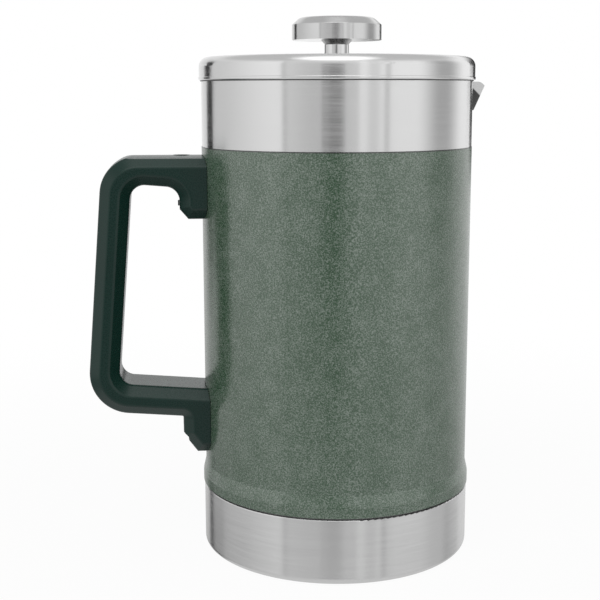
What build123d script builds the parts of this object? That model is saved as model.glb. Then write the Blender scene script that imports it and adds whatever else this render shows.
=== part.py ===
from build123d import *
import os
from math import cos, radians, sqrt, tan

# A double-wall steel french press, in millimetres, +Z up.
# The origin is the centre of the ring that the pot stands on.
# The handle points along -X and the spout along +X.

# Pot
body_radius = 62.3        # outside of the bare steel shell
rim_height = 226.0        # top edge of the shell, under the lid
shell_wall = 0.8
bare_band = 36.0          # unpainted steel, from the paint's edge up to the rim
coat_thickness = 0.2
film_gap = 0.02           # between faces that are coated, brazed or welded together
bead_proud = 1.2          # rolled bead at the foot of the painted wall
bead_width = 4.6
bead_run_out = 5.4        # height over which the bead blends into the wall
bead_round = 0.8

# Base
base_height = 30.2
base_wall = 0.9
base_fit = 0.1            # radial gap of the cup on the shell
base_corner = 3.0
base_rim_round = 0.5
base_seam = 0.9           # open line between the cup and the bead
stand_ring = 14.0         # width of the flat ring that meets the table
stand_recess = 2.4
shell_foot = 4.0          # lower end of the shell, inside the cup

# Inner liner and the parts of the vacuum wall
liner_radius = 55.0
liner_wall = 0.7
floor_height = 12.0
floor_round = 8.0
shoulder_rise = 7.0       # height of the liner's flare
flange_height = 8.0
flange_drop = 1.5         # its flange below the lid's plug
vacuum_base_height = 4.0
vacuum_base_wall = 0.8
seal_hole = 1.5
seal_head = 3.0
seal_thickness = 1.0
getter_radius = 5.0
getter_height = 1.6
getter_offset = 20.0

# Spout
spout_clear = 0.25        # top of the spout's root, below the lid's sleeve
spout_height = 13.1
spout_reach = 9.4         # how far its front stands out from the shell at root height
spout_foot_reach = 3.0
spout_half_width = 12.0
spout_foot_half_width = 4.2
spout_root_depth = 4.0    # wedge carried behind the shell's face, for the window
spout_wall = 0.8
spout_floor = 1.6
spout_nose_round = 3.0
spout_foot_round = 1.9
spout_knee = 4.4          # where its rim starts to fall to the tip, out from the shell
spout_knee_round = 8.0
spout_droop = 32.0        # degrees that the rim falls past there
window_margin = 0.8       # steel left above the pouring window

# Handle
handle_drop = 3.85        # top of the upper arm, below the paint's edge
handle_rise = 17.6        # bottom of the lower foot, above the base cup
handle_reach = 50.9       # outer face of the grip at mid height, from the paint
handle_lean = 4.8         # degrees that the grip leans out towards its foot
handle_width = 31.0
grip_depth = 13.8
upper_arm_depth = 14.25   # at the foot's face
foot_depth = 10.6         # both feet, out from the paint
upper_foot_height = 14.3
upper_bevel_width = 3.9
upper_bevel_height = 4.5
lower_foot_height = 17.3
lower_bevel_width = 6.4
lower_bevel_height = 8.6
upper_corner = 17.3
lower_corner = 19.0
inner_corner = 6.5
heel_corner = 0.8
edge_bevel_depth = 4.8    # eight-sided section: bevel along the arm's depth
edge_bevel_width = 4.4    # and across its width
edge_round = 2.0          # along those bevels
crown_radius = 70.0       # curve across the top of the upper arm
crown_trim = 0.05         # cut off at the top of that curve
saddle_gap = 0.2          # between the handle's ends and the paint
nub_radius = 1.3          # moulded nub on the upper foot's face
nub_proud = 0.7
nub_drop = 22.0           # its centre below the top of the arm
step_depth = 2.2          # notch in the lower foot's bevel
step_height = 2.6
step_draft = 0.3

# Handle brackets, screws and plug
bracket_width = 12.0
bracket_fit = 0.15
bracket_bare = 0.3        # paint kept clear of the welded brackets
tongue_end = 6.5          # upper bracket, past its screw
tongue_thickness = 4.0
block_height = 8.0        # lower bracket
clamp_wall = 2.5          # plastic between a screw's head and its bracket
screw_radius = 2.0
screw_head_radius = 3.4
screw_head_height = 2.2
screw_length = 6.2        # under the head
screw_fit = 0.05          # in the brackets' threads
screw_pass = 0.2          # in the plastic
screw_sink = 0.2          # head below the plug or the foot's face
upper_screw_out = 9.3     # from the paint
plug_radius = 3.8
plug_thickness = 1.3
plug_proud = 0.1
plug_fit = 0.1
plug_round = 0.1

# Lid
cap_gap = 0.45            # skirt around the shell
cap_wall = 0.55
cap_skirt = 6.2           # skirt below the rim
cap_rise = 4.2            # top of the lid above the rim
cap_corner = 4.2
hem_height = 1.5
hem_proud = 0.25
hem_round = 0.25
hem_curl = 0.6            # round of the skirt's lower edge
sleeve_wall = 0.3         # plastic sleeve inside the skirt
sleeve_height = 5.6
sleeve_show = 0.4         # how far it shows below the skirt
insert_gap = 0.5          # lid plug inside the shell
insert_wall = 2.5
insert_depth = 21.5       # the plug's wall below the rim
insert_top_fit = 0.2
insert_seat = 0.1         # the plug's flange, short of the shell's outside
hub_wall = 5.0            # around the rod guide
hub_depth = 12.0
pour_half_width = 10.0
pour_land = 0.8           # plug left between its window and the gasket's groove
pour_margin = 0.2         # top of that window, below the shell's window
gasket_gap = 0.3
gasket_height = 3.6
gasket_groove = 1.4
gasket_lip = 0.5
gasket_lip_height = 1.0
gasket_lift = 1.2         # groove above the plug's lower edge
gasket_play = 0.2

# Rod guide
guide_radius = 5.65       # polished neck above the lid
guide_height = 6.0
guide_shoulder = 0.65     # seat on the lid, around the shank
guide_fit = 0.1
guide_edge = 0.4
rod_clearance = 0.08
nut_wall = 2.5
nut_height = 3.5
nut_tail = 1.0            # shank past the nut

# Knob
knob_radius = 20.5
knob_height = 10.1
knob_bevel_width = 3.6
knob_bevel_height = 3.2
knob_wall = 0.6
knob_edge = 0.3           # round between its side and its bevel
knob_crown = 3.6          # round between its bevel and its top
knob_fit = 0.05
knob_recess = 0.5
collar_height = 1.7
collar_flare = 1.6        # how far the collar widens up to the knob

# Plunger
rod_radius = 3.0
rod_bury = 7.0            # rod inside the knob
rod_tail = 1.5            # rod short of the hub nut's lower face
thread_fit = 0.02
floor_clearance = 3.5     # hub nut above the liner's floor, plunger down
hub_nut_radius = 7.0
hub_nut_height = 4.5
cross_inset = 5.5         # cross plate inside the mesh's edge
cross_thickness = 1.0
plate_gap = 0.05          # between the stacked filter plates
mesh_gap = 0.5            # mesh rim inside the liner
mesh_thickness = 0.4
mesh_rim = 4.0
spring_plate_thickness = 0.8
spring_coil = 2.6         # outer radius of the rim spring's coil
spring_gap = 0.2
boss_radius = 6.0
boss_height = 8.0
plate_holes = 12
plate_hole_radius = 4.5
plate_land = 12.0         # plate left outside its holes
cross_holes = 8
cross_land = 7.0          # plate left outside the large holes
cross_hub = 17.0          # plate left between those holes and the hub nut
drain_hole_radius = 3.5
drain_land = 4.5          # plate left between the small holes and the hub nut

# Heights, radii and places that follow from the sizes above
shell_inside = body_radius - shell_wall
coat_inside = body_radius + film_gap
coat_outside = coat_inside + coat_thickness
coat_top = rim_height - bare_band
bead_low = base_height + base_seam
vacuum_base_top = shell_foot + vacuum_base_height
braze_radius = shell_inside - film_gap
skirt_low = rim_height - cap_skirt
sleeve_low = skirt_low - sleeve_show
spout_top = sleeve_low - spout_clear
spout_low = spout_top - spout_height
lid_top = rim_height + cap_rise
guide_top = lid_top + guide_height
knob_low = guide_top + collar_height
knob_top = knob_low + knob_height
hub_low = rim_height - hub_depth
insert_outside = shell_inside - insert_gap
insert_inside = insert_outside - insert_wall
insert_low = rim_height - insert_depth
groove_low = insert_low + gasket_lift
groove_high = groove_low + gasket_height + 2 * gasket_play
groove_radius = insert_outside - gasket_groove
pour_low = groove_high + pour_land
pour_high = spout_top - window_margin - pour_margin
guide_shank = guide_radius - guide_shoulder
bore_radius = rod_radius + thread_fit
plunger_low = floor_height + floor_clearance
cross_low = plunger_low + hub_nut_height
mesh_low = cross_low + cross_thickness + plate_gap
mesh_top = mesh_low + mesh_thickness
mesh_outside = liner_radius - mesh_gap
spring_ring = mesh_outside - mesh_thickness - spring_gap - spring_coil
plate_low = mesh_top + plate_gap
plate_radius = spring_ring - spring_coil - spring_gap
plate_hole_circle = plate_radius - plate_land - plate_hole_radius
cross_radius = mesh_outside - cross_inset
cross_hole_outside = cross_radius - cross_land
cross_hole_inside = hub_nut_radius + cross_hub
cross_hole_radius = (cross_hole_outside - cross_hole_inside) / 2
cross_hole_circle = (cross_hole_outside + cross_hole_inside) / 2
drain_hole_circle = hub_nut_radius + drain_land + drain_hole_radius
handle_top = coat_top - handle_drop
handle_low = base_height + handle_rise
foot_face = coat_outside + foot_depth
lower_screw_height = handle_low + (lower_bevel_height + lower_foot_height) / 2
upper_screw_x = -(coat_outside + upper_screw_out)
upper_seat = handle_top - plug_thickness - screw_sink - screw_head_height
lower_seat_x = -(foot_face - screw_sink - screw_head_height)
tongue_top = upper_seat - clamp_wall
tongue_tip = upper_screw_x - tongue_end
block_tip = lower_seat_x + clamp_wall


def outline(points, rounds=()):
    """A flat face through corner points, with some of its corners rounded."""
    face = make_face(Polyline(*points, close=True))
    for corner, radius in rounds:
        face = fillet(face.vertices().sort_by_distance(corner)[0], radius)
    return face


def turned(points, rounds=()):
    """A solid of revolution about Z from (radius, height) corner points."""
    return revolve(Plane.XZ * outline(points, rounds), Axis.Z)


def post(radius, low, high):
    """An upright cylinder on the Z axis between two heights."""
    return Pos(0, 0, low) * Cylinder(radius, high - low, align=(Align.CENTER, Align.CENTER, Align.MIN))


def block(low, high):
    """A box between two corners."""
    size = Vector(*high) - Vector(*low)
    return Pos(*low) * Box(size.X, size.Y, size.Z, align=(Align.MIN, Align.MIN, Align.MIN))


def drilled(plate, count, hole_radius, circle, low, high):
    """The plate with a ring of upright holes through it."""
    for place in PolarLocations(circle, count):
        plate -= place * post(hole_radius, low, high)
    return plate


# Pot
def wall_points(radius, low):
    """Corner points up the painted wall, from a height below its bead to the bead's end."""
    return [
        (radius, low),
        (radius + bead_proud, low),
        (radius + bead_proud, bead_low + bead_width),
        (radius, bead_low + bead_width + bead_run_out),
    ]


def bead_rounds(radius):
    return [
        ((radius + bead_proud, bead_low), bead_round),
        ((radius + bead_proud, bead_low + bead_width), bead_width),
    ]


def make_base_cup():
    inside = body_radius + base_fit
    outside = inside + base_wall
    ring_inside = outside - base_corner - stand_ring
    recess_edge = ring_inside - stand_recess
    points = [
        (0, stand_recess),
        (recess_edge, stand_recess),
        (ring_inside, 0),
        (outside, 0),
        (outside, base_height),
        (inside, base_height),
        (inside, base_wall),
        (ring_inside, base_wall),
        (recess_edge, stand_recess + base_wall),
        (0, stand_recess + base_wall),
    ]
    rounds = [
        ((outside, 0), base_corner),
        ((outside, base_height), base_rim_round),
        ((inside, base_wall), base_corner - base_wall),
    ]
    return turned(points, rounds)


def beak(inset, low, high):
    """The spout's wedge between two heights, inset from its outer faces."""
    sections = []
    for height in (low, high):
        share = (height - spout_low) / spout_height
        reach = spout_foot_reach + share * (spout_reach - spout_foot_reach)
        half = spout_foot_half_width + share * (spout_half_width - spout_foot_half_width)
        nose = spout_foot_round + share * (spout_nose_round - spout_foot_round)
        fall_away = body_radius - sqrt(body_radius**2 - half**2)
        tip = (body_radius + reach, 0)
        back = body_radius - spout_root_depth
        spread = (reach + spout_root_depth) * half / (reach + fall_away)
        face = outline([tip, (back, spread), (back, -spread)], [(tip, nose)])
        if inset:
            face = offset(face, -inset, kind=Kind.INTERSECTION)
        sections.append(Pos(0, 0, height) * face)
    return loft(sections, ruled=True)


def spout_hollow(high):
    return beak(spout_wall, spout_low + spout_floor, high)


def make_spout():
    above = spout_top + spout_wall
    solid = beak(0, spout_low, above) - spout_hollow(above)
    knee = (body_radius + spout_knee, spout_top)
    beyond = 2 * spout_reach
    fallen = (knee[0] + beyond, knee[1] - beyond * tan(radians(spout_droop)))
    over = spout_top + beyond
    rim = [(0, spout_top), knee, fallen, (fallen[0], over), (0, over)]
    solid -= extrude(Plane.XZ * outline(rim, [(knee, spout_knee_round)]), beyond, both=True)
    return solid - post(body_radius + film_gap, spout_low - beyond, over)


def make_outer_shell():
    outer = wall_points(body_radius, bead_low)
    inner = wall_points(shell_inside, bead_low + shell_wall)
    points = [(body_radius, shell_foot)] + outer + [(body_radius, rim_height)]
    points += [(shell_inside, rim_height)] + inner[::-1] + [(shell_inside, shell_foot)]
    shell = turned(points, bead_rounds(body_radius))
    return shell - spout_hollow(spout_top - window_margin)


def make_painted_coat():
    outer = wall_points(coat_outside, bead_low)[1:]
    inner = wall_points(coat_inside, bead_low + bead_round)[1:]
    points = outer + [(coat_outside, coat_top), (coat_inside, coat_top)] + inner[::-1]
    coat = turned(points, [bead_rounds(coat_outside)[1], bead_rounds(coat_inside)[1]])
    return coat - make_tongue(bracket_bare) - make_lower_block(bracket_bare)


def make_inner_liner():
    flange_inside = braze_radius - liner_wall
    outside = liner_radius + liner_wall
    underside = floor_height - liner_wall
    flange_top = insert_low - flange_drop
    flare_high = flange_top - flange_height
    flare_low = flare_high - shoulder_rise
    points = [
        (0, floor_height),
        (liner_radius, floor_height),
        (liner_radius, flare_low),
        (flange_inside, flare_high),
        (flange_inside, flange_top),
        (braze_radius, flange_top),
        (braze_radius, flare_high),
        (outside, flare_low),
        (outside, underside),
        (0, underside),
    ]
    rounds = [((liner_radius, floor_height), floor_round), ((outside, underside), floor_round + liner_wall)]
    return turned(points, rounds)


def make_vacuum_base():
    inside = braze_radius - vacuum_base_wall
    underside = vacuum_base_top - vacuum_base_wall
    return turned([
        (seal_hole, underside),
        (inside, underside),
        (inside, shell_foot),
        (braze_radius, shell_foot),
        (braze_radius, vacuum_base_top),
        (seal_hole, vacuum_base_top),
    ])


def make_vacuum_seal():
    underside = vacuum_base_top - vacuum_base_wall
    head_low = underside - seal_thickness
    return post(seal_head, head_low, underside) + post(seal_hole - film_gap, head_low, vacuum_base_top)


def make_getter():
    return Pos(getter_offset, 0, 0) * post(getter_radius, vacuum_base_top, vacuum_base_top + getter_height)


# Handle and what holds it
def grip_radius(reach, height):
    """Distance of the leaning grip's face from the pot's axis at a height."""
    middle = (handle_top + handle_low) / 2
    return coat_outside + reach + (middle - height) * tan(radians(handle_lean))


def arm_height(at_foot, radius):
    """Height of an arm's face that is square to the grip, given its height at the feet."""
    return at_foot + (radius - foot_face) * tan(radians(handle_lean))


def arm_corner(reach, at_foot):
    """Where a face of the grip meets a face of an arm."""
    slope = tan(radians(handle_lean))
    start = grip_radius(reach, 0)
    height = (at_foot + (start - foot_face) * slope) / (1 + slope**2)
    return (-grip_radius(reach, height), height)


def make_handle_blank():
    """The bevelled C of the handle, running into the pot, before it is cut to fit."""
    depth = grip_depth / cos(radians(handle_lean))
    buried = foot_depth - coat_outside
    lower_out = handle_low + lower_foot_height
    lower_in = lower_out + depth
    upper_in = handle_top - upper_arm_depth
    upper_foot_low = upper_in - upper_foot_height
    crest = handle_top + crown_trim
    top_corner = (-grip_radius(handle_reach, crest), crest)
    low_corner = arm_corner(handle_reach, lower_out)
    low_inside = arm_corner(handle_reach - depth, lower_in)
    top_inside = arm_corner(handle_reach - depth, upper_in)
    heel = (-foot_face, lower_out)
    foot_inside = (-foot_face, upper_in)
    points = [
        (buried, crest),
        top_corner,
        low_corner,
        heel,
        (-foot_face, handle_low + lower_bevel_height),
        (lower_bevel_width - foot_face, handle_low),
        (buried, handle_low),
        (buried, arm_height(lower_in, -buried)),
        low_inside,
        top_inside,
        foot_inside,
        (-foot_face, upper_foot_low + upper_bevel_height),
        (upper_bevel_width - foot_face, upper_foot_low),
        (buried, upper_foot_low),
    ]
    rounds = [
        (top_corner, upper_corner),
        (low_corner, lower_corner),
        (heel, heel_corner),
        (low_inside, inner_corner),
        (top_inside, inner_corner),
        (foot_inside, inner_corner),
    ]
    solid = extrude(Plane.XZ * outline(points, rounds), handle_width / 2, both=True)
    for side in (0, -1):
        face = solid.faces().filter_by(Axis.Y).sort_by(Axis.Y)[side]
        solid = chamfer(face.edges(), edge_bevel_depth, edge_bevel_width, reference=face)
    edges = ShapeList()
    for level in (handle_width / 2, handle_width / 2 - edge_bevel_width):
        for side in (level, -level):
            edges += solid.edges().filter_by_position(Axis.Y, side - film_gap, side + film_gap)
    return fillet(edges, edge_round)


def make_crown_cut():
    """Cutter that leaves the upper arm curved across its top."""
    middle = handle_top - crown_radius
    far = -2 * grip_radius(handle_reach, 0)
    above = block((far, -handle_width, middle), (0, handle_width, handle_top + crown_radius))
    return above - Pos(0, 0, middle) * Rot(0, 90, 0) * Cylinder(crown_radius, -3 * far)


def make_step():
    """Cutter for the notch in the lower foot's bevel."""
    top = handle_low + lower_bevel_height + step_depth / 2
    deep = step_depth - foot_face
    clear = -(foot_face + step_height)
    points = [
        (clear, top + step_height + step_depth / 2),
        (-foot_face, top),
        (deep, top - step_depth),
        (deep + step_draft, top - step_depth - step_height),
        (clear, top - step_depth - step_height),
    ]
    return extrude(Plane.XZ * outline(points), handle_width, both=True)


def bracket_bar(tip, low, high, grow):
    """A bar from inside the shell out to its tip, with room added around it."""
    half = bracket_width / 2 + grow
    return block((tip - grow, -half, low - grow), (-liner_radius, half, high + grow))


def make_tongue(grow=0.0):
    """The upper bracket's bar."""
    return bracket_bar(tongue_tip, tongue_top - tongue_thickness, tongue_top, grow)


def make_lower_block(grow=0.0):
    """The lower bracket's bar."""
    rise = block_height / 2
    return bracket_bar(block_tip, lower_screw_height - rise, lower_screw_height + rise, grow)


def screw_shape(shank, head, head_height):
    """A pan screw along Z, with its seat at the origin and its shank pointing down."""
    return post(shank, -screw_length, 0) + post(head, 0, head_height)


def at_upper_screw(shape):
    return Pos(upper_screw_x, 0, upper_seat) * shape


def at_lower_screw(shape):
    return Pos(lower_seat_x, 0, lower_screw_height) * Rot(0, -90, 0) * shape


def make_screws():
    screw = screw_shape(screw_radius, screw_head_radius, screw_head_height)
    return [at_upper_screw(screw), at_lower_screw(screw)]


def make_bracket(bar, place):
    thread = place(post(screw_radius + screw_fit, -screw_length, screw_length))
    return bar - post(coat_inside, 0, rim_height) - thread


def make_handle():
    nub = Pos(-foot_face, 0, handle_top - nub_drop) * Rot(0, 90, 0) * Cylinder(nub_radius, 2 * nub_proud)
    solid = make_handle_blank() - make_crown_cut() + nub - make_step()
    solid -= post(coat_outside + saddle_gap, 0, rim_height)
    solid -= make_tongue(bracket_fit)
    solid -= make_lower_block(bracket_fit)
    passing = screw_radius + screw_pass
    solid -= at_upper_screw(screw_shape(passing, plug_radius + plug_fit, handle_drop + upper_arm_depth))
    return solid - at_lower_screw(screw_shape(passing, screw_head_radius + screw_pass, foot_depth))


def make_screw_plug():
    low = handle_top - plug_thickness
    top = handle_top + plug_proud
    points = [(0, low), (plug_radius, low), (plug_radius, top), (0, top)]
    return Pos(upper_screw_x, 0, 0) * turned(points, [((plug_radius, top), plug_round)])


# Lid
def make_lid_cap():
    inside = body_radius + cap_gap
    outside = inside + cap_wall
    hem = outside + hem_proud
    hole = guide_shank + guide_fit
    ceiling = lid_top - cap_wall
    points = [
        (hole, lid_top),
        (outside, lid_top),
        (outside, skirt_low + hem_height),
        (hem, skirt_low + hem_height),
        (hem, skirt_low),
        (inside, skirt_low),
        (inside, ceiling),
        (hole, ceiling),
    ]
    rounds = [
        ((outside, lid_top), cap_corner),
        ((inside, ceiling), cap_corner - cap_wall),
        ((hem, skirt_low + hem_height), hem_round),
        ((hem, skirt_low), hem_curl),
    ]
    return turned(points, rounds)


def make_lid_sleeve():
    outside = body_radius + cap_gap - film_gap
    inside = outside - sleeve_wall
    high = sleeve_low + sleeve_height
    return turned([(inside, sleeve_low), (outside, sleeve_low), (outside, high), (inside, high)])


def make_lid_plug():
    top = lid_top - cap_wall - insert_top_fit
    flange = body_radius - insert_seat
    bore = guide_shank + guide_fit
    hub = guide_shank + hub_wall
    points = [
        (bore, top),
        (flange, top),
        (flange, rim_height),
        (insert_outside, rim_height),
        (insert_outside, groove_high),
        (groove_radius, groove_high),
        (groove_radius, groove_low),
        (insert_outside, groove_low),
        (insert_outside, insert_low),
        (insert_inside, insert_low),
        (insert_inside, rim_height),
        (hub, rim_height),
        (hub, hub_low),
        (bore, hub_low),
    ]
    room = body_radius + cap_gap - insert_top_fit
    corner = cap_corner - cap_wall - insert_top_fit
    cavity = [(0, 0), (room, 0), (room, top), (0, top)]
    plug = turned(points) & turned(cavity, [((room, top), corner)])
    return plug - block((hub, -pour_half_width, pour_low), (body_radius, pour_half_width, pour_high))


def make_lid_gasket():
    inside = groove_radius + gasket_gap
    lip = shell_inside - gasket_gap
    waist = lip - gasket_lip
    low = groove_low + gasket_play
    high = low + gasket_height
    return turned([
        (inside, low),
        (lip, low),
        (lip, low + gasket_lip_height),
        (waist, low + gasket_lip_height),
        (waist, high - gasket_lip_height),
        (lip, high - gasket_lip_height),
        (lip, high),
        (inside, high),
    ])


def make_rod_guide():
    bore = rod_radius + rod_clearance
    low = hub_low - nut_height - nut_tail
    points = [
        (bore, low),
        (guide_shank, low),
        (guide_shank, lid_top),
        (guide_radius, lid_top),
        (guide_radius, guide_top),
        (bore, guide_top),
    ]
    return turned(points, [((guide_radius, guide_top), guide_edge)])


def make_guide_nut():
    hexagon = RegularPolygon(guide_shank + nut_wall, 6, major_radius=False)
    nut = extrude(Pos(0, 0, hub_low - nut_height) * hexagon, nut_height)
    return nut - post(guide_shank + thread_fit, hub_low - nut_height, hub_low)


# Knob
def knob_points(inset):
    """The knob's bevelled outline, inset evenly from its outer faces."""
    slant = sqrt(knob_bevel_width**2 + knob_bevel_height**2)
    side = knob_radius - inset
    top = knob_top - inset
    bevel_side = inset * (slant - knob_bevel_width) / knob_bevel_height
    bevel_top = inset * (slant - knob_bevel_height) / knob_bevel_width
    shoulder = (side, knob_top - knob_bevel_height - bevel_side)
    crown = (knob_radius - knob_bevel_width - bevel_top, top)
    return shoulder, crown


def make_knob_cap():
    shoulder, crown = knob_points(0)
    inner_shoulder, inner_crown = knob_points(knob_wall)
    points = [
        (0, knob_top),
        crown,
        shoulder,
        (shoulder[0], knob_low),
        (inner_shoulder[0], knob_low),
        inner_shoulder,
        inner_crown,
        (0, inner_crown[1]),
    ]
    rounds = [(shoulder, knob_edge), (crown, knob_crown), (inner_crown, knob_crown - knob_wall)]
    return turned(points, rounds)


def make_knob_core():
    inset = knob_wall + knob_fit
    shoulder, crown = knob_points(inset)
    low = knob_low + knob_recess
    rounds = [(shoulder, knob_edge), (crown, knob_crown - inset)]
    core = turned([(0, crown[1]), crown, shoulder, (shoulder[0], low), (0, low)], rounds)
    return core - post(bore_radius, knob_low, knob_low + rod_bury + thread_fit)


def make_knob_base():
    inside = guide_radius + collar_flare + knob_fit
    outside = knob_radius - knob_wall - knob_fit
    high = knob_low + knob_recess - film_gap
    return turned([(inside, knob_low), (outside, knob_low), (outside, high), (inside, high)])


def make_knob_collar():
    top_radius = guide_radius + collar_flare
    return turned([
        (bore_radius, guide_top),
        (guide_radius, guide_top),
        (top_radius, knob_low),
        (top_radius, knob_low + knob_recess),
        (bore_radius, knob_low + knob_recess),
    ])


# Plunger
def make_plunger_rod():
    return post(rod_radius, plunger_low + rod_tail, knob_low + rod_bury)


def make_hub_nut():
    nut = extrude(Pos(0, 0, plunger_low) * RegularPolygon(hub_nut_radius, 6), hub_nut_height)
    return nut - post(bore_radius, plunger_low, cross_low)


def make_cross_plate():
    high = cross_low + cross_thickness
    plate = post(cross_radius, cross_low, high) - post(bore_radius, cross_low, high)
    plate = drilled(plate, cross_holes, cross_hole_radius, cross_hole_circle, cross_low, high)
    return drilled(plate, cross_holes, drain_hole_radius, drain_hole_circle, cross_low, high)


def make_mesh_filter():
    rim_inside = mesh_outside - mesh_thickness
    return turned([
        (bore_radius, mesh_low),
        (mesh_outside, mesh_low),
        (mesh_outside, mesh_low + mesh_rim),
        (rim_inside, mesh_low + mesh_rim),
        (rim_inside, mesh_top),
        (bore_radius, mesh_top),
    ])


def make_spring_plate():
    high = plate_low + spring_plate_thickness
    plate = turned([
        (bore_radius, plate_low),
        (plate_radius, plate_low),
        (plate_radius, high),
        (boss_radius, high),
        (boss_radius, high + boss_height),
        (bore_radius, high + boss_height),
    ])
    return drilled(plate, plate_holes, plate_hole_radius, plate_hole_circle, plate_low, high)


def make_rim_spring():
    return Pos(0, 0, mesh_top + plate_gap + spring_coil) * Torus(spring_ring, spring_coil)


nodes = {
    "base_cup": make_base_cup(),
    "outer_shell": make_outer_shell(),
    "painted_coat": make_painted_coat(),
    "inner_liner": make_inner_liner(),
    "vacuum_base": make_vacuum_base(),
    "vacuum_seal": make_vacuum_seal(),
    "getter": make_getter(),
    "spout": make_spout(),
    "handle": make_handle(),
    "handle_bracket_upper": make_bracket(make_tongue(), at_upper_screw),
    "handle_bracket_lower": make_bracket(make_lower_block(), at_lower_screw),
    "handle_screws": Compound(children=make_screws()),
    "screw_plug": make_screw_plug(),
    "lid_cap": make_lid_cap(),
    "lid_sleeve": make_lid_sleeve(),
    "lid_plug": make_lid_plug(),
    "lid_gasket": make_lid_gasket(),
    "rod_guide": make_rod_guide(),
    "guide_nut": make_guide_nut(),
    "knob_cap": make_knob_cap(),
    "knob_core": make_knob_core(),
    "knob_base": make_knob_base(),
    "knob_collar": make_knob_collar(),
    "plunger_rod": make_plunger_rod(),
    "hub_nut": make_hub_nut(),
    "cross_plate": make_cross_plate(),
    "mesh_filter": make_mesh_filter(),
    "spring_plate": make_spring_plate(),
    "rim_spring": make_rim_spring(),
}

os.makedirs("parts", exist_ok=True)
for name, solid in nodes.items():
    export_step(solid, f"parts/{name}.step")
    print(name, round(solid.volume, 1))
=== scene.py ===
import math

import bpy
from mathutils import Matrix, Vector


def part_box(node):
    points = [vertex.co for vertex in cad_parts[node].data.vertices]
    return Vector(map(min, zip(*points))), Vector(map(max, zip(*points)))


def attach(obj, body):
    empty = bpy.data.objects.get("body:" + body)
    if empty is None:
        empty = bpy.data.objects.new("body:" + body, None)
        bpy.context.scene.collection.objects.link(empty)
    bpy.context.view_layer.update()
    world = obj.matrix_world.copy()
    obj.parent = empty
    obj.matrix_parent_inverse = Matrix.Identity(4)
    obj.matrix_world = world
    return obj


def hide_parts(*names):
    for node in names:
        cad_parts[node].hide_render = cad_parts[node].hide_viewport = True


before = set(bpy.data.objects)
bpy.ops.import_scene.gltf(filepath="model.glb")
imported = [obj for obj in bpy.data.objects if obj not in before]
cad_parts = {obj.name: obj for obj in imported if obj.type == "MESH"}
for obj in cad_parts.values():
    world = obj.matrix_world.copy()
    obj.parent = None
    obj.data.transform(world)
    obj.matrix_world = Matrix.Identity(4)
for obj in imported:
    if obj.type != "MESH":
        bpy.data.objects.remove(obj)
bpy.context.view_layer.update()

MM = 0.001

# Camera: place, aim and lens of the photograph, in metres and degrees
CAMERA_DISTANCE = 0.55719
CAMERA_HEIGHT = 0.21497
CAMERA_TURN = 7.8
CAMERA_PITCH = 9.980
CAMERA_YAW = -1.7464
CAMERA_ROLL = -0.0842
IMAGE_SIDE_PX = 600
FOCAL_LENGTH_PX = 1187.29
SENSOR_WIDTH_MM = 36.0
NEAR_CLIP = 0.01

# Studio: white room with soft dark flags and an overhead softbox, seen only in reflections
# Azimuths are measured from the camera, positive to its right, in degrees
# Each flag is azimuth, half width, soft edge, its depth at eye level, lower down and near the floor,
# and the elevation where its top starts to fade
STUDIO_FLAGS = {
    "camera_stand": (-9.0, 5.0, 32.0, 0.16, 0.18, 0.0, 20.0),
    "front_screen": (-13.6, 30.1, 3.4, 0.22, 0.22, 0.08, 20.0),
    "left_post": (-42.8, 0.6, 2.6, 0.16, 0.10, 0.07, 20.0),
    "left_wall": (-120.0, 2.0, 72.0, 0.31, 0.10, 0.28, 20.0),
    "left_low_card": (-138.0, 3.0, 3.0, 0.0, 0.08, 0.70, 20.0),
    "left_low_wall": (-125.5, 10.0, 3.0, 0.0, 0.0, 0.12, 20.0),
    "left_floor_cloth": (-72.0, 8.0, 24.0, 0.0, 0.0, 0.07, 20.0),
    "right_post": (30.5, 1.5, 6.5, 0.20, 0.13, 0.10, 20.0),
    "right_screen": (33.0, 14.0, 6.0, 0.0, 0.13, 0.0, 20.0),
    "right_rail": (42.0, 0.8, 3.0, 0.30, 0.20, 0.16, 20.0),
    "right_wall": (99.0, 3.0, 28.0, 0.58, 0.20, 0.10, 20.0),
    "right_floor_cloth": (60.0, 12.0, 12.0, 0.0, 0.0, 0.06, 20.0),
    "right_low_wall": (123.0, 8.0, 10.0, 0.0, 0.0, 0.20, 20.0),
}
# The dark of the camera itself, which fades sooner and quicker upwards
CAMERA_FLAGS = {
    "lens": (-1.0, 3.0, 3.0, 0.28, 0.10, 0.0, -3.0),
    "camera": (-2.4, 8.2, 2.2, 0.58, 0.12, 0.0, -5.0),
}
# Elevations of the three depths, heights of the upper fades, and elevations where the flags end below
FLAG_EYE = -2.0
FLAG_LOWER = -12.5
FLAG_FLOOR = -21.0
FLAG_FADE = 16.0
CAMERA_FADE = 12.0
FLAG_FOOT = -28.0
FLAG_FOOT_GONE = -42.0
# Black cards beside the object, which shift a little above eye level
# Each card is azimuth at eye level, azimuth at the knob's level, half width, soft edge, depth,
# and the elevations where its lower end is gone and where it is full
EDGE_CARDS = {
    "left_card": (-134.8, -131.0, 6.2, 1.2, 0.95, -12.0, -4.5),
    "right_card": (165.5, 156.0, 12.5, 2.0, 0.95, -5.0, -2.5),
}
CARD_TOP = 8.0
KNOB_LOW = 0.8
KNOB_HIGH = 2.2
# Room brightness from straight down to straight up, elevations in degrees
NADIR_LEVEL = 0.70
NADIR_END = -50.0
TABLE_LEVEL = 0.65
TABLE_ELEVATION = -24.0
ROOM_LEVEL = 1.0
ROOM_ELEVATION = -3.0
BACKDROP_END = 24.0
GAP_START = 40.0
GAP_LEVEL = 0.60
DARKEST_LEVEL = 0.02
# Softbox above the object, leaning towards the camera
SOFTBOX_TILT = 27.0
SOFTBOX_HALF = 14.5
SOFTBOX_SOFT = 18.0
SOFTBOX_LEVEL = 1.7

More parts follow.
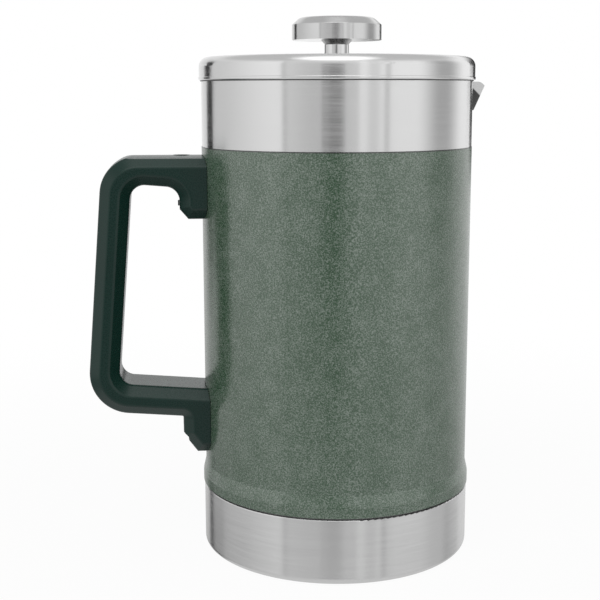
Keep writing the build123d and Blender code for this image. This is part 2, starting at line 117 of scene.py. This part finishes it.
# Light on surfaces: even light from all round, and two soft lamps with their place and power
AMBIENT_LEVEL = 0.72
LAMPS = {
    "key_lamp": ((-0.7, -0.9, 1.2), 9.0),
    "fill_lamp": ((0.9, -0.7, 0.9), 4.0),
}
LAMP_AIM = (0.0, 0.0, 0.12)
LAMP_SIDE = 0.9

# Floor: pale, with a soft shadow
FLOOR_HALF = 3.0
FLOOR_DROP = 0.1 * MM
FLOOR_COLOUR = (0.60, 0.60, 0.60, 1.0)
FLOOR_GLOW = 0.95
FLOOR_SHADOW_END = 0.55
FLOOR_SHADOW_START = 0.14

# Noise values between which a finish goes from one roughness to the other
NOISE_LOW = 0.3
NOISE_HIGH = 0.7

# Brushed steel: pitch of its strokes, how fast they change round the axis, and their depth
FINE_PITCH = 0.35 * MM
FINE_TURNS = 3.0
BROAD_PITCH = 2.2 * MM
BROAD_TURNS = 1.2
FINE_SHARE = 0.6
STROKE_BUMP = 0.035
STROKE_DEPTH = 0.02 * MM
SMOOTHER = 0.03
ROUGHER = 0.04
ACROSS_STROKES = 0.25

# The shell's steel, also that of the base cup and the spout
SHELL_TONE = 0.74
SHELL_ROUGHNESS = 0.20

# How far the painted shade in the seam under the paint reaches up behind the paint, and how dark it is
SEAM_SHADE_REACH = 0.2 * MM
SEAM_SHADE_TONE = 0.16

# Lower edge of the spout's bright lip: its fall outwards, its place against the spout's top,
# and the tone of the painted shade and dark reflection below it
LIP_SLOPE = 0.6
LIP_START = -2.5 * MM
LIP_SOFT = 0.4 * MM
SPOUT_SHADE_TONE = 0.018

# Smooth steel: its clouds against its grain, how far tone and roughness vary, and the grain's depth
SHEEN_CLOUD_SCALE = 0.1
SHEEN_DARKER = 0.93
SHEEN_LIGHTER = 1.05
SHEEN_SMOOTHER = 0.8
SHEEN_ROUGHER = 1.25
SHEEN_DEPTH = 0.02 * MM
POLISHED_GRAIN = {"grain_scale": 400.0, "bump": 0.01}

# Hammertone paint: its colour, how much darker the flecks and lighter the glints are,
# the noise values where they start and end, and the sizes of the pattern per metre
PAINT = (0.084, 0.123, 0.090)
FLECK_DARKER = 0.066
GLINT_LIGHTER = 0.080
FLECK_FULL = 0.40
FLECK_END = 0.54
GLINT_FULL = 0.72
DRIFT_SCALE = 110.0
DRIFT_SHARE = 0.22
DIMPLE_SCALE = 800.0
DIMPLE_SHARE = 0.5
FLECK_SCALE = 1800.0
PAINT_IOR = 1.95
PAINT_ROUGH = 0.24
PAINT_GLOSSY = 0.18
PAINT_BUMP = 0.42
PAINT_DEPTH = 0.15 * MM
# Painted shade along the upper edge of the paint, measured down from its top
EDGE_START = 0.7 * MM
EDGE_FULL = 0.3 * MM
EDGE_PAINTED_SHADE = 0.06

# Moulded plastic: colours, and the pattern per metre
HANDLE_GREEN = (0.0008, 0.0187, 0.0135, 1.0)
PLUG_SHADE = 0.8
LID_BLACK = (0.012, 0.012, 0.013, 1.0)
SLEEVE_TONE = 0.06
MOULD_CLOUD_SCALE = 40.0
MOULD_CLOUD = 0.15
MOULD_GRAIN_SCALE = 1500.0
MOULD_GRAIN = 0.05
MOULD_BUMP = 0.08
MOULD_DEPTH = 0.03 * MM

# Woven wire cloth of the filter: pitch, the weave's heights in hole and wire, and its finish, with painted
# shade in the holes
MESH_PITCH = 0.35 * MM
MESH_HOLE = -0.9
MESH_WIRE = 0.2
MESH_HOLE_SHADE = 0.12
MESH_WIRE_TONE = 0.62
MESH_ROUGH = 0.45
MESH_GLOSSY = 0.25
MESH_BUMP = 0.35
MESH_DEPTH = 0.06 * MM

# Silicone of the gasket
SILICONE_SCALE = 120.0
SILICONE_DARK = 0.040
SILICONE_LIGHT = 0.060
SILICONE_SMOOTH = 0.42
SILICONE_ROUGH = 0.55
SILICONE_SHEEN = 0.2

# Coil of the filter's rim spring
SPRING_WIRE = 0.45 * MM
SPRING_CURLS = 100
STEPS_PER_CURL = 14
WIRE_ROUNDNESS = 2


class Nodes:
    """A node tree, with short calls for the nodes used here."""

    def __init__(self, tree):
        self.tree = tree

    def add(self, kind, **settings):
        made = self.tree.nodes.new(kind)
        for key, value in settings.items():
            setattr(made, key, value)
        return made

    def feed(self, socket, value):
        if isinstance(value, bpy.types.NodeSocket):
            self.tree.links.new(value, socket)
        else:
            socket.default_value = value

    def math(self, operation, first, second=0.0, third=0.0):
        made = self.add("ShaderNodeMath", operation=operation)
        for socket, value in zip(made.inputs, (first, second, third)):
            self.feed(socket, value)
        return made.outputs[0]

    def vector(self, operation, first, second=(0.0, 0.0, 0.0)):
        made = self.add("ShaderNodeVectorMath", operation=operation)
        self.feed(made.inputs[0], first)
        self.feed(made.inputs[1], second)
        name = "Value" if operation in ("LENGTH", "DOT_PRODUCT") else "Vector"
        return made.outputs[name]

    def axes(self, vector):
        made = self.add("ShaderNodeSeparateXYZ")
        self.feed(made.inputs[0], vector)
        return made.outputs

    def span(self, value, low, high, at_low=0.0, at_high=1.0, smooth=True):
        kind = "SMOOTHSTEP" if smooth else "LINEAR"
        made = self.add("ShaderNodeMapRange", interpolation_type=kind)
        for name, number in zip(
            ("Value", "From Min", "From Max", "To Min", "To Max"),
            (value, low, high, at_low, at_high),
        ):
            self.feed(made.inputs[name], number)
        return made.outputs["Result"]

    def blend(self, factor, first, second):
        made = self.add("ShaderNodeMix", data_type="RGBA")
        self.feed(made.inputs["Factor"], factor)
        colours = [s for s in made.inputs if s.type == "RGBA"]
        self.feed(colours[0], first)
        self.feed(colours[1], second)
        return [s for s in made.outputs if s.type == "RGBA"][0]

    def noise(self, vector, scale, detail=2.0, roughness=0.5):
        made = self.add("ShaderNodeTexNoise")
        self.feed(made.inputs["Vector"], vector)
        made.inputs["Scale"].default_value = scale
        made.inputs["Detail"].default_value = detail
        made.inputs["Roughness"].default_value = roughness
        return made.outputs["Fac"]

    def cells(self, vector, scale):
        made = self.add("ShaderNodeTexVoronoi", feature="F1")
        self.feed(made.inputs["Vector"], vector)
        made.inputs["Scale"].default_value = scale
        return made.outputs["Distance"]

    def place(self):
        return self.add("ShaderNodeTexCoord").outputs["Object"]

    def bump(self, height, strength, distance):
        made = self.add("ShaderNodeBump")
        made.inputs["Strength"].default_value = strength
        made.inputs["Distance"].default_value = distance
        self.feed(made.inputs["Height"], height)
        return made.outputs["Normal"]


def new_object(name, data):
    """An object in the scene."""
    made = bpy.data.objects.new(name, data)
    bpy.context.scene.collection.objects.link(made)
    return made


def new_material(name):
    """A material with one principled surface; returns it, its nodes and the surface."""
    material = bpy.data.materials.new(name)
    material.use_nodes = True
    nodes = Nodes(material.node_tree)
    surface = material.node_tree.nodes["Principled BSDF"]
    return material, nodes, surface


def grey(level):
    return (level, level, level, 1.0)


def shade(colour, factor):
    return tuple(channel * factor for channel in colour[:3]) + (1.0,)


def shift(colour, step):
    return tuple(channel + step for channel in colour) + (1.0,)


def spun_coordinates(nodes, turns, pitch):
    """Coordinates that run slowly round the axis and fast along the profile."""
    place = nodes.place()
    flat = nodes.vector("MULTIPLY", place, (1.0, 1.0, 0.0))
    radius = nodes.vector("LENGTH", flat)
    heading = nodes.vector("NORMALIZE", flat)
    along = nodes.math("SUBTRACT", nodes.axes(place)["Z"], radius)
    join = nodes.add("ShaderNodeCombineXYZ")
    nodes.feed(join.inputs["Z"], nodes.math("DIVIDE", along, pitch))
    slow = nodes.vector("MULTIPLY", heading, (turns, turns, 0.0))
    return nodes.vector("ADD", slow, join.outputs[0])


def brushed_steel(name, tone, roughness, anisotropy=0.95, streak=0.06):
    """Stainless steel, brushed round its axis."""
    material, nodes, surface = new_material(name)
    fine = nodes.noise(spun_coordinates(nodes, FINE_TURNS, FINE_PITCH), 1.0, detail=3.0, roughness=0.6)
    broad = nodes.noise(spun_coordinates(nodes, BROAD_TURNS, BROAD_PITCH), 1.0)
    fine_part = nodes.math("MULTIPLY", fine, FINE_SHARE)
    grain = nodes.math("MULTIPLY_ADD", broad, 1.0 - FINE_SHARE, fine_part)
    colour = nodes.blend(grain, grey(tone * (1.0 - streak)), grey(tone * (1.0 + streak)))
    nodes.feed(surface.inputs["Base Color"], colour)
    surface.inputs["Metallic"].default_value = 1.0
    worn = nodes.span(grain, NOISE_LOW, NOISE_HIGH, roughness - SMOOTHER, roughness + ROUGHER)
    nodes.feed(surface.inputs["Roughness"], worn)
    surface.inputs["Anisotropic"].default_value = anisotropy
    surface.inputs["Anisotropic Rotation"].default_value = ACROSS_STROKES
    tangent = nodes.add("ShaderNodeTangent", direction_type="RADIAL", axis="Z")
    nodes.feed(surface.inputs["Tangent"], tangent.outputs[0])
    nodes.feed(surface.inputs["Normal"], nodes.bump(fine, STROKE_BUMP, STROKE_DEPTH))
    return material


def steel_with_painted_shade(name, unshaded_share, shade_tone):
    """The shell's brushed steel, with painted shade where its unshaded share falls to nothing."""
    material = brushed_steel(name, SHELL_TONE, SHELL_ROUGHNESS)
    nodes = Nodes(material.node_tree)
    colour = material.node_tree.nodes["Principled BSDF"].inputs["Base Color"]
    bright = colour.links[0].from_socket
    nodes.feed(colour, nodes.blend(unshaded_share(nodes), grey(shade_tone), bright))
    return material


def clear_of_seam_shade(nodes):
    """Nothing inside the open seam above the base cup, where shade is painted, and one on the rest of the
    shell.
    """
    low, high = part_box("painted_coat")
    height = nodes.axes(nodes.place())["Z"]
    return nodes.span(height, low.z + SEAM_SHADE_REACH, low.z + 2 * SEAM_SHADE_REACH)


# The spout's steel below its lip is painted dark, as painted shade and dark reflection
def clear_of_spout_shade(nodes):
    """One on the spout's lip and nothing below it, as in the photograph."""
    low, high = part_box("spout")
    axes = nodes.axes(nodes.place())
    out = nodes.math("SUBTRACT", axes["X"], low.x)
    lip = nodes.math("MULTIPLY_ADD", out, LIP_SLOPE, axes["Z"])
    return nodes.span(lip, high.z + LIP_START - LIP_SOFT, high.z + LIP_START + LIP_SOFT)


def smooth_steel(name, tone, roughness, grain_scale=900.0, bump=0.02):
    """Polished, drawn or pressed steel with a faint uneven sheen."""
    material, nodes, surface = new_material(name)
    place = nodes.place()
    cloud = nodes.noise(place, grain_scale * SHEEN_CLOUD_SCALE, detail=3.0)
    grain = nodes.noise(place, grain_scale, detail=3.0)
    colour = nodes.blend(cloud, grey(tone * SHEEN_DARKER), grey(tone * SHEEN_LIGHTER))
    nodes.feed(surface.inputs["Base Color"], colour)
    surface.inputs["Metallic"].default_value = 1.0
    smoothest = roughness * SHEEN_SMOOTHER
    roughest = roughness * SHEEN_ROUGHER
    worn = nodes.span(grain, NOISE_LOW, NOISE_HIGH, smoothest, roughest)
    nodes.feed(surface.inputs["Roughness"], worn)
    nodes.feed(surface.inputs["Normal"], nodes.bump(grain, bump, SHEEN_DEPTH))
    return material


def hammertone_paint(name):
    """Green hammertone: glossy skin with shallow dimples, fine flecks and painted shade along its upper
    edge.
    """
    material, nodes, surface = new_material(name)
    place = nodes.place()
    drift = nodes.noise(place, DRIFT_SCALE, detail=3.0)
    dimple = nodes.cells(place, DIMPLE_SCALE)
    fleck = nodes.noise(place, FLECK_SCALE, detail=1.0)
    centred = nodes.math("SUBTRACT", fleck, DRIFT_SHARE / 2)
    uneven = nodes.math("MULTIPLY_ADD", drift, DRIFT_SHARE, centred)
    flecked = shift(PAINT, -FLECK_DARKER)
    glint = shift(PAINT, GLINT_LIGHTER)
    lower = nodes.blend(nodes.span(uneven, FLECK_FULL, FLECK_END), flecked, PAINT + (1.0,))
    speckled = nodes.blend(nodes.span(uneven, FLECK_END, GLINT_FULL), lower, glint)
    low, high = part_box("painted_coat")
    # Painted shade: a thin dark line just under the paint's top edge
    edge = nodes.span(nodes.axes(place)["Z"], high.z - EDGE_START, high.z - EDGE_FULL)
    nodes.feed(surface.inputs["Base Color"], nodes.blend(edge, speckled, shade(PAINT, EDGE_PAINTED_SHADE)))
    surface.inputs["IOR"].default_value = PAINT_IOR
    worn = nodes.span(fleck, NOISE_LOW, NOISE_HIGH, PAINT_ROUGH, PAINT_GLOSSY)
    nodes.feed(surface.inputs["Roughness"], worn)
    fleck_part = nodes.math("MULTIPLY", fleck, 1.0 - DIMPLE_SHARE)
    height = nodes.math("MULTIPLY_ADD", dimple, DIMPLE_SHARE, fleck_part)
    nodes.feed(surface.inputs["Normal"], nodes.bump(height, PAINT_BUMP, PAINT_DEPTH))
    return material


def moulded_plastic(name, base, roughness, ior=1.45):
    """Moulded plastic with a fine spark texture."""
    material, nodes, surface = new_material(name)
    place = nodes.place()
    cloud = nodes.noise(place, MOULD_CLOUD_SCALE, detail=3.0)
    grain = nodes.noise(place, MOULD_GRAIN_SCALE)
    colour = nodes.blend(cloud, shade(base, 1.0 - MOULD_CLOUD), shade(base, 1.0 + MOULD_CLOUD))
    nodes.feed(surface.inputs["Base Color"], colour)
    worn = nodes.span(grain, NOISE_LOW, NOISE_HIGH, roughness - MOULD_GRAIN, roughness + MOULD_GRAIN)
    nodes.feed(surface.inputs["Roughness"], worn)
    surface.inputs["IOR"].default_value = ior
    nodes.feed(surface.inputs["Normal"], nodes.bump(grain, MOULD_BUMP, MOULD_DEPTH))
    return material


def woven_steel(name):
    """Fine woven wire cloth, its holes painted dark as shade."""
    material, nodes, surface = new_material(name)
    axes = nodes.axes(nodes.place())
    waves = 2 * math.pi / MESH_PITCH
    across = nodes.math("SINE", nodes.math("MULTIPLY", axes["X"], waves))
    along = nodes.math("SINE", nodes.math("MULTIPLY", axes["Y"], waves))
    weave = nodes.math("MULTIPLY", across, along)
    wire = nodes.span(weave, MESH_HOLE, MESH_WIRE)
    # The holes between the wires are painted dark, as painted shade
    nodes.feed(surface.inputs["Base Color"], nodes.blend(wire, grey(MESH_HOLE_SHADE), grey(MESH_WIRE_TONE)))
    surface.inputs["Metallic"].default_value = 1.0
    nodes.feed(surface.inputs["Roughness"], nodes.span(weave, -1.0, 1.0, MESH_ROUGH, MESH_GLOSSY))
    nodes.feed(surface.inputs["Normal"], nodes.bump(weave, MESH_BUMP, MESH_DEPTH))
    return material


def soft_silicone(name):
    """Dull black silicone with a dusty sheen."""
    material, nodes, surface = new_material(name)
    cloud = nodes.noise(nodes.place(), SILICONE_SCALE, detail=3.0)
    nodes.feed(surface.inputs["Base Color"], nodes.blend(cloud, grey(SILICONE_DARK), grey(SILICONE_LIGHT)))
    worn = nodes.span(cloud, NOISE_LOW, NOISE_HIGH, SILICONE_SMOOTH, SILICONE_ROUGH)
    nodes.feed(surface.inputs["Roughness"], worn)
    surface.inputs["Sheen Weight"].default_value = SILICONE_SHEEN
    return material


def dress_nodes(spring_wire):
    """Gives every CAD node its finish."""
    inner = brushed_steel("inner_steel", tone=0.66, roughness=0.32, anisotropy=0.6, streak=0.08)
    bracket = smooth_steel("bracket_steel", tone=0.58, roughness=0.36)
    polished = smooth_steel("polished_steel", tone=0.74, roughness=0.09, **POLISHED_GRAIN)
    nut = smooth_steel("nut_steel", tone=0.60, roughness=0.24)
    pressed = smooth_steel("filter_steel", tone=0.64, roughness=0.22)
    finishes = {
        "base_cup": brushed_steel("brushed_shell", SHELL_TONE, SHELL_ROUGHNESS),
        # The shell's steel gets painted shade in the open seam above the base cup
        "outer_shell": steel_with_painted_shade("shell_with_seam_shade", clear_of_seam_shade, SEAM_SHADE_TONE),
        # The spout's steel is painted dark below its lip, as painted shade and dark reflection
        "spout": steel_with_painted_shade("spout_with_painted_shade", clear_of_spout_shade, SPOUT_SHADE_TONE),
        "lid_cap": brushed_steel("brushed_lid", tone=0.79, roughness=0.19),
        "knob_cap": brushed_steel("brushed_knob", tone=0.67, roughness=0.20),
        "painted_coat": hammertone_paint("hammertone_paint"),
        "inner_liner": inner,
        "vacuum_base": inner,
        "vacuum_seal": smooth_steel("solder", tone=0.50, roughness=0.42, grain_scale=500.0, bump=0.10),
        "getter": smooth_steel("getter_metal", tone=0.42, roughness=0.50, grain_scale=600.0, bump=0.10),
        "handle": moulded_plastic("handle_plastic", HANDLE_GREEN, roughness=0.28, ior=1.43),
        "screw_plug": moulded_plastic("plug_plastic", shade(HANDLE_GREEN, PLUG_SHADE), roughness=0.45),
        "handle_bracket_upper": bracket,
        "handle_bracket_lower": bracket,
        "handle_screws": smooth_steel("screw_steel", tone=0.62, roughness=0.28),
        "lid_sleeve": moulded_plastic("sleeve_plastic", grey(SLEEVE_TONE), roughness=0.45),
        "lid_plug": moulded_plastic("lid_plastic", LID_BLACK, roughness=0.40),
        "lid_gasket": soft_silicone("silicone"),
        "rod_guide": polished,
        "plunger_rod": polished,
        "guide_nut": nut,
        "hub_nut": nut,
        "knob_core": moulded_plastic("core_plastic", LID_BLACK, roughness=0.50),
        "knob_base": smooth_steel("knob_plate", tone=0.78, roughness=0.12, **POLISHED_GRAIN),
        "knob_collar": smooth_steel("collar_steel", tone=0.66, roughness=0.10, **POLISHED_GRAIN),
        "cross_plate": pressed,
        "spring_plate": pressed,
        "mesh_filter": woven_steel("mesh_steel"),
        "rim_spring": spring_wire,
    }
    for name, finish in finishes.items():
        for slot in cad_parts[name].material_slots:
            slot.material = finish


def wound_ring(ring, middle, winding):
    """Path of a wire that curls round a ring."""
    count = SPRING_CURLS * STEPS_PER_CURL
    curve = bpy.data.curves.new("spring_path", "CURVE")
    curve.dimensions = "3D"
    curve.bevel_depth = SPRING_WIRE
    curve.bevel_resolution = WIRE_ROUNDNESS
    path = curve.splines.new("POLY")
    path.points.add(count - 1)
    path.use_cyclic_u = True
    for step, point in enumerate(path.points):
        around = 2 * math.pi * step / count
        curl = SPRING_CURLS * around
        radius = ring + winding * math.cos(curl)
        height = middle + winding * math.sin(curl)
        point.co = (radius * math.cos(around), radius * math.sin(around), height, 1.0)
    return curve


def make_rim_spring(spring_wire):
    """The wound spring round the filter's edge, in place of the CAD's plain ring."""
    low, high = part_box("rim_spring")
    coil = (high.z - low.z) / 2
    ring = (high.x - low.x) / 2 - coil
    middle = (high.z + low.z) / 2
    wound = bpy.data.objects.new("spring_path", wound_ring(ring, middle, coil - SPRING_WIRE))
    mesh = bpy.data.meshes.new_from_object(wound)
    mesh.name = "rim_spring_coil"
    mesh.materials.clear()
    mesh.materials.append(spring_wire)
    for face in mesh.polygons:
        face.use_smooth = True
    bpy.data.objects.remove(wound)
    spring = new_object("rim_spring_coil", mesh)
    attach(spring, "plunger")
    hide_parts("rim_spring")


def upright(nodes, azimuth, middle, half_width, soft, depth):
    """How much light one upright flag takes away at an azimuth."""
    away = nodes.math("WRAP", nodes.math("SUBTRACT", azimuth, middle), 180.0, -180.0)
    away = nodes.math("ABSOLUTE", away)
    return nodes.span(away, half_width, half_width + soft, depth, 0.0)


def flag_dark(nodes, azimuth, elevation, flags, fade):
    """How much light a group of flags takes away in one direction."""
    dark = 0.0
    for middle, half_width, soft, eye_depth, lower_depth, floor_depth, top in flags.values():
        depth = nodes.span(elevation, FLAG_FLOOR, FLAG_LOWER, floor_depth, lower_depth)
        depth = nodes.span(elevation, FLAG_LOWER, FLAG_EYE, depth, eye_depth)
        depth = nodes.span(elevation, top, top + fade, depth, 0.0)
        dark = nodes.math("ADD", upright(nodes, azimuth, middle, half_width, soft, depth), dark)
    return dark


def card_dark(nodes, azimuth, elevation):
    """How much light the black cards take away in one direction."""
    dark = 0.0
    for eye_middle, knob_middle, half_width, soft, full_depth, gone, full in EDGE_CARDS.values():
        middle = nodes.span(elevation, KNOB_LOW, KNOB_HIGH, eye_middle, knob_middle)
        depth = nodes.span(elevation, gone, full, 0.0, full_depth)
        depth = nodes.span(elevation, CARD_TOP, CARD_TOP + FLAG_FADE, depth, 0.0)
        dark = nodes.math("ADD", upright(nodes, azimuth, middle, half_width, soft, depth), dark)
    return dark


def room_level(nodes, heading, elevation):
    """Brightness of the table, the room, the dimmer gap overhead and the softbox."""
    tilt = math.radians(SOFTBOX_TILT)
    lean = nodes.vector("DOT_PRODUCT", heading, (0.0, -math.sin(tilt), math.cos(tilt)))
    off_axis = nodes.math("DEGREES", nodes.math("ARCCOSINE", lean))
    softbox_end = SOFTBOX_HALF + SOFTBOX_SOFT
    softbox = nodes.span(off_axis, SOFTBOX_HALF, softbox_end, SOFTBOX_LEVEL - GAP_LEVEL, 0.0)
    table = nodes.span(elevation, NADIR_END, TABLE_ELEVATION, NADIR_LEVEL, TABLE_LEVEL)
    room = nodes.span(elevation, TABLE_ELEVATION, ROOM_ELEVATION, 0.0, ROOM_LEVEL - TABLE_LEVEL)
    gap = nodes.span(elevation, BACKDROP_END, GAP_START, 0.0, GAP_LEVEL - ROOM_LEVEL)
    return nodes.math("ADD", nodes.math("ADD", table, room), nodes.math("ADD", gap, softbox))


def studio_level(nodes, heading):
    """Brightness of the white room and its dark flags in one direction."""
    turn = nodes.add("ShaderNodeVectorRotate", rotation_type="Z_AXIS")
    nodes.feed(turn.inputs["Vector"], heading)
    turn.inputs["Angle"].default_value = math.radians(CAMERA_TURN)
    turned = turn.outputs[0]
    axes = nodes.axes(turned)
    toward = nodes.math("MULTIPLY", axes["Y"], -1.0)
    azimuth = nodes.math("DEGREES", nodes.math("ARCTAN2", axes["X"], toward))
    elevation = nodes.math("DEGREES", nodes.math("ARCSINE", axes["Z"]))
    studio = flag_dark(nodes, azimuth, elevation, STUDIO_FLAGS, FLAG_FADE)
    camera = flag_dark(nodes, azimuth, elevation, CAMERA_FLAGS, CAMERA_FADE)
    foot = nodes.span(elevation, FLAG_FOOT_GONE, FLAG_FOOT)
    flags = nodes.math("MULTIPLY", nodes.math("ADD", studio, camera), foot)
    dark = nodes.math("ADD", flags, card_dark(nodes, azimuth, elevation))
    lit = nodes.math("SUBTRACT", room_level(nodes, turned, elevation), dark)
    return nodes.math("MAXIMUM", lit, DARKEST_LEVEL)


def make_world():
    """White to the camera, the studio to reflections, soft ambient light to the rest."""
    world = bpy.data.worlds.new("studio")
    world.use_nodes = True
    bpy.context.scene.world = world
    world.cycles.sampling_method = "NONE"
    nodes = Nodes(world.node_tree)
    background = world.node_tree.nodes["Background"]
    heading = nodes.add("ShaderNodeTexCoord").outputs["Generated"]
    ray = nodes.add("ShaderNodeLightPath")
    seen = nodes.math("MAXIMUM", ray.outputs["Is Camera Ray"], ray.outputs["Is Transmission Ray"])
    plain = nodes.span(seen, 0.0, 1.0, AMBIENT_LEVEL, 1.0, smooth=False)
    mirrored = studio_level(nodes, heading)
    level = nodes.span(ray.outputs["Is Glossy Ray"], 0.0, 1.0, plain, mirrored, smooth=False)
    nodes.feed(background.inputs["Strength"], level)
    background.inputs["Color"].default_value = grey(1.0)


def floor_white(name):
    """Matt white that glows to the camera and still takes a shadow round the object."""
    material, nodes, surface = new_material(name)
    surface.inputs["Base Color"].default_value = FLOOR_COLOUR
    surface.inputs["Roughness"].default_value = 1.0
    surface.inputs["Specular IOR Level"].default_value = 0.0
    glow = nodes.add("ShaderNodeEmission")
    mixed = nodes.add("ShaderNodeMixShader")
    ray = nodes.add("ShaderNodeLightPath")
    seen = nodes.math("MAXIMUM", ray.outputs["Is Camera Ray"], ray.outputs["Is Glossy Ray"])
    seen = nodes.math("MAXIMUM", seen, ray.outputs["Is Transmission Ray"])
    away = nodes.vector("LENGTH", nodes.place())
    glow_share = nodes.span(away, FLOOR_SHADOW_START, FLOOR_SHADOW_END, FLOOR_GLOW, 1.0)
    nodes.feed(mixed.inputs["Fac"], nodes.math("MULTIPLY", seen, glow_share))
    nodes.feed(mixed.inputs[1], surface.outputs[0])
    nodes.feed(mixed.inputs[2], glow.outputs[0])
    output = material.node_tree.nodes["Material Output"]
    nodes.feed(output.inputs["Surface"], mixed.outputs[0])
    return material


def make_floor():
    """Pale floor, seen by the camera and not in reflections."""
    corners = [(-1, -1), (1, -1), (1, 1), (-1, 1)]
    points = [(x * FLOOR_HALF, y * FLOOR_HALF, -FLOOR_DROP) for x, y in corners]
    mesh = bpy.data.meshes.new("floor")
    mesh.from_pydata(points, [], [(0, 1, 2, 3)])
    mesh.materials.append(floor_white("floor_white"))
    floor = new_object("floor", mesh)
    floor.visible_glossy = False


def make_lamp(name, place, power):
    """A soft square lamp that lights surfaces but isn't mirrored in them."""
    light = bpy.data.lights.new(name, "AREA")
    light.size = LAMP_SIDE
    light.energy = power
    lamp = new_object(name, light)
    lamp.location = place
    lamp.rotation_euler = (Vector(LAMP_AIM) - Vector(place)).to_track_quat("-Z", "Y").to_euler()
    lamp.visible_glossy = False


def make_camera():
    """The photograph's viewpoint."""
    turn = math.radians(CAMERA_TURN)
    pitch = math.radians(CAMERA_PITCH)
    yaw = math.radians(CAMERA_YAW)
    roll = math.radians(CAMERA_ROLL)
    level = math.cos(pitch)
    forward = Vector((math.sin(yaw) * level, math.cos(yaw) * level, -math.sin(pitch)))
    forward.rotate(Matrix.Rotation(-turn, 3, "Z"))
    level_right = forward.cross(Vector((0.0, 0.0, 1.0))).normalized()
    level_up = level_right.cross(forward)
    right = level_right * math.cos(roll) + level_up * math.sin(roll)
    up = level_up * math.cos(roll) - level_right * math.sin(roll)
    lens = bpy.data.cameras.new("camera")
    lens.sensor_width = SENSOR_WIDTH_MM
    lens.lens = FOCAL_LENGTH_PX / IMAGE_SIDE_PX * SENSOR_WIDTH_MM
    lens.clip_start = NEAR_CLIP
    camera = new_object("camera", lens)
    placed = Matrix((right, up, -forward)).transposed().to_4x4()
    placed.translation = Vector((-math.sin(turn), -math.cos(turn), 0.0)) * CAMERA_DISTANCE
    placed.translation.z = CAMERA_HEIGHT
    camera.matrix_world = placed
    bpy.context.scene.camera = camera


spring_wire = smooth_steel("spring_steel", tone=0.66, roughness=0.18)
dress_nodes(spring_wire)
make_rim_spring(spring_wire)
make_world()
make_floor()
for lamp_name, (lamp_place, lamp_power) in LAMPS.items():
    make_lamp(lamp_name, lamp_place, lamp_power)
make_camera()
bpy.context.scene.view_settings.view_transform = "Standard"
